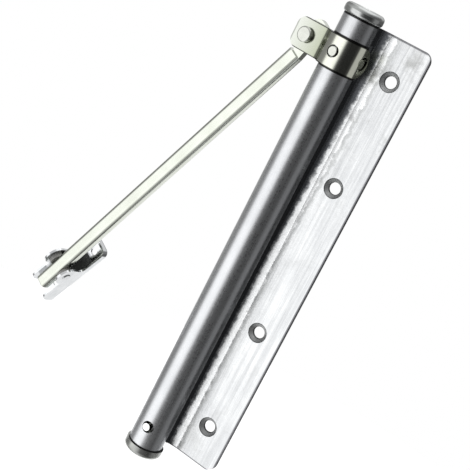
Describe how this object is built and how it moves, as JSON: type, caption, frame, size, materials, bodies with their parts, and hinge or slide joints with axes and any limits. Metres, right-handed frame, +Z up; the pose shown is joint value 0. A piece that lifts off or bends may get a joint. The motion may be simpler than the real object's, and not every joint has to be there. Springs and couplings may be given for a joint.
{
  "type": "spring door closer",
  "caption": "Tubular spring door closer: a tube on a flat screw-on plate, with a sprung strap that carries a long folding arm ending in a pressed foot bracket.",
  "frame": {"origin": "on the plate's flat back face, at the middle of the line through its screw holes", "axes": "+X from the tube towards the plate's free edge, +Y into the wall that the plate is screwed to, +Z up along the tube"},
  "size_m": [0.1546, 0.0436, 0.2593],
  "materials": {
    "plate_steel": "brushed lengthwise, fine scratches",
    "tube_steel": "satin drawn tube",
    "weld_steel": "ground weld, slightly heat tinted",
    "cap_steel": "turned and polished",
    "fibre": "pressed fibre",
    "nylon": "moulded nylon",
    "spring_steel": "oiled spring wire",
    "strap_nickel": "polished nickel plate",
    "inner_steel": "plain turned steel",
    "pin_steel": "turned and plated",
    "arm_nickel": "polished nickel plate",
    "foot_chrome": "bright chrome plate",
    "rubber": "moulded rubber"
  },
  "bodies": {
    "closer_body": {"mounting_plate": "plate_steel", "barrel_tube": "tube_steel", "weld_beads": "weld_steel", "top_cap": "cap_steel", "plug_washer": "fibre", "thrust_washer": "nylon", "torsion_spring": "spring_steel"},
    "turning_strap": {"strap_clamp": "strap_nickel", "rotor": "inner_steel", "strap_pin": "pin_steel", "side_pin": "pin_steel", "pivot_rivet": "pin_steel"},
    "folding_arm": {"swing_arm": "arm_nickel", "pivot_washer_front": "fibre", "pivot_washer_rear": "fibre", "foot_spacer_left": "nylon", "foot_spacer_right": "nylon"},
    "foot": {"foot_bracket": "foot_chrome", "foot_pin": "pin_steel", "foot_buffer": "rubber"},
    "tension_adjuster": {"tension_plug": "cap_steel", "guide_rod": "inner_steel"},
    "locking_pin": {"lock_pin": "pin_steel"}
  },
  "joints": [
    {"name": "arm_swing", "type": "hinge", "parent": "closer_body", "child": "turning_strap", "pos_m": [-0.0233, -0.0148, 0.1044], "axis": [0, 0, 1], "range_deg": [0, 110], "stiffness_Nm_per_rad": 0.9, "springref_deg": -34.38, "deforming": ["torsion_spring"]},
    {"name": "arm_fold", "type": "hinge", "parent": "turning_strap", "child": "folding_arm", "pos_m": [-0.045, -0.01117, 0.1044], "axis": [0.165, 0.9863, 0], "range_deg": [-24, 150]},
    {"name": "foot_tilt", "type": "hinge", "parent": "folding_arm", "child": "foot", "pos_m": [-0.12491, 0.0022, -0.07737], "axis": [-0.8968, 0.1501, 0.4163], "range_deg": [-15, 25]},
    {"name": "tension_adjust", "type": "hinge", "parent": "closer_body", "child": "tension_adjuster", "pos_m": [-0.0233, -0.0148, -0.1246], "axis": [0, 0, 1], "continuous": true},
    {"name": "lock_pin_pull", "type": "slide", "parent": "closer_body", "child": "locking_pin", "axis": [0, -1, 0], "range_m": [0, 0.008]}
  ]
}
